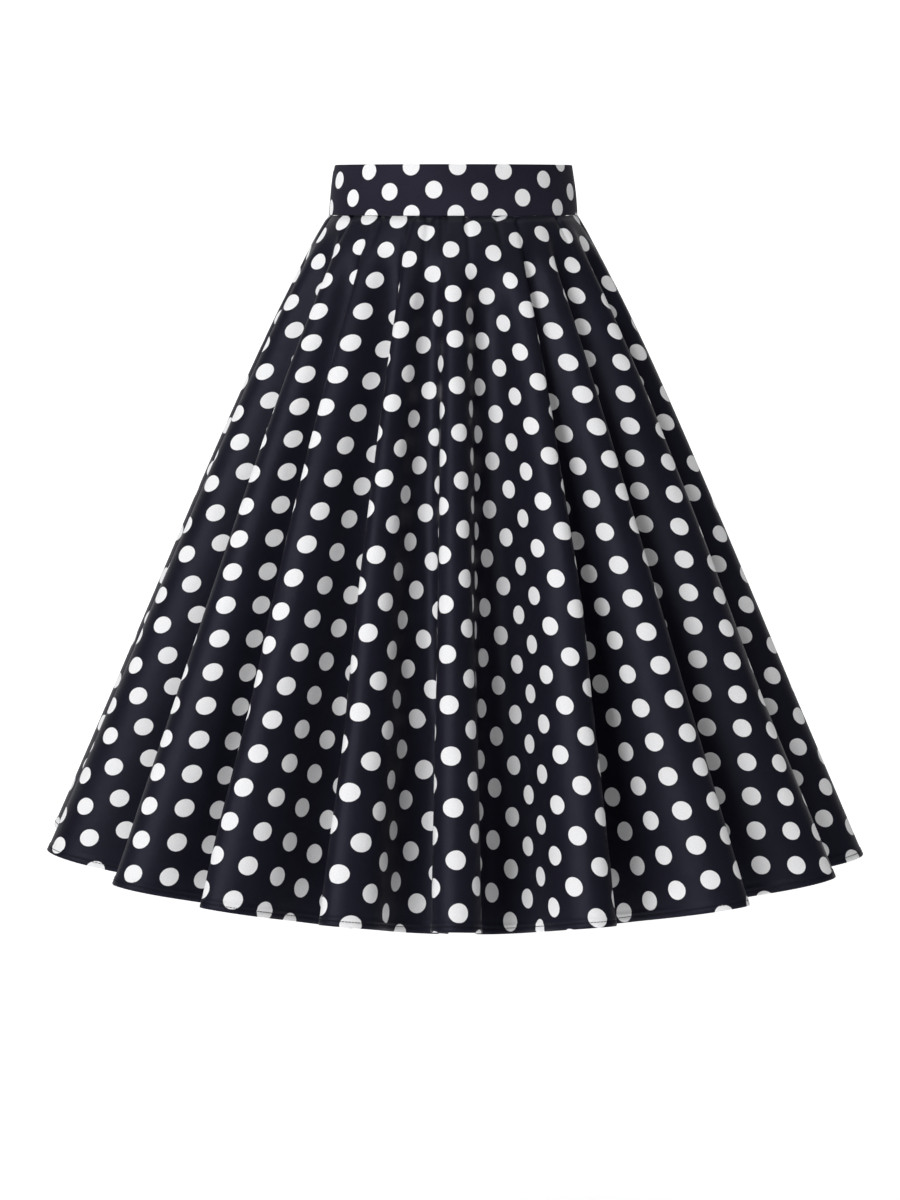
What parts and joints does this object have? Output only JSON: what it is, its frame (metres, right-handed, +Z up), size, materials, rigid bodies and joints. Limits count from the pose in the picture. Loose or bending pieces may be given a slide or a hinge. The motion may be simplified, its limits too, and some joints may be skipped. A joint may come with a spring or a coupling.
{
  "type": "circle skirt",
  "caption": "High-waisted full circle skirt in dotted cotton, held open as worn, with a plain ring waistband and deep rounded flutes.",
  "frame": {"origin": "middle of the waistband, halfway up it, where the waist holds the skirt", "axes": "+Z up, -Y towards the front, +X towards the wearer's left side"},
  "size_m": [0.7927, 0.6922, 0.7362],
  "materials": {
    "waistband_cotton": "navy cotton with white dots, stiffened",
    "skirt_cotton": "navy cotton with white dots",
    "zip_tape": "dark woven tape"
  },
  "bodies": {
    "root": {"waistband": "waistband_cotton", "skirt_front": "skirt_cotton", "skirt_back_left": "skirt_cotton", "skirt_back_right": "skirt_cotton", "zip_tape": "zip_tape"}
  },
  "joints": []
}
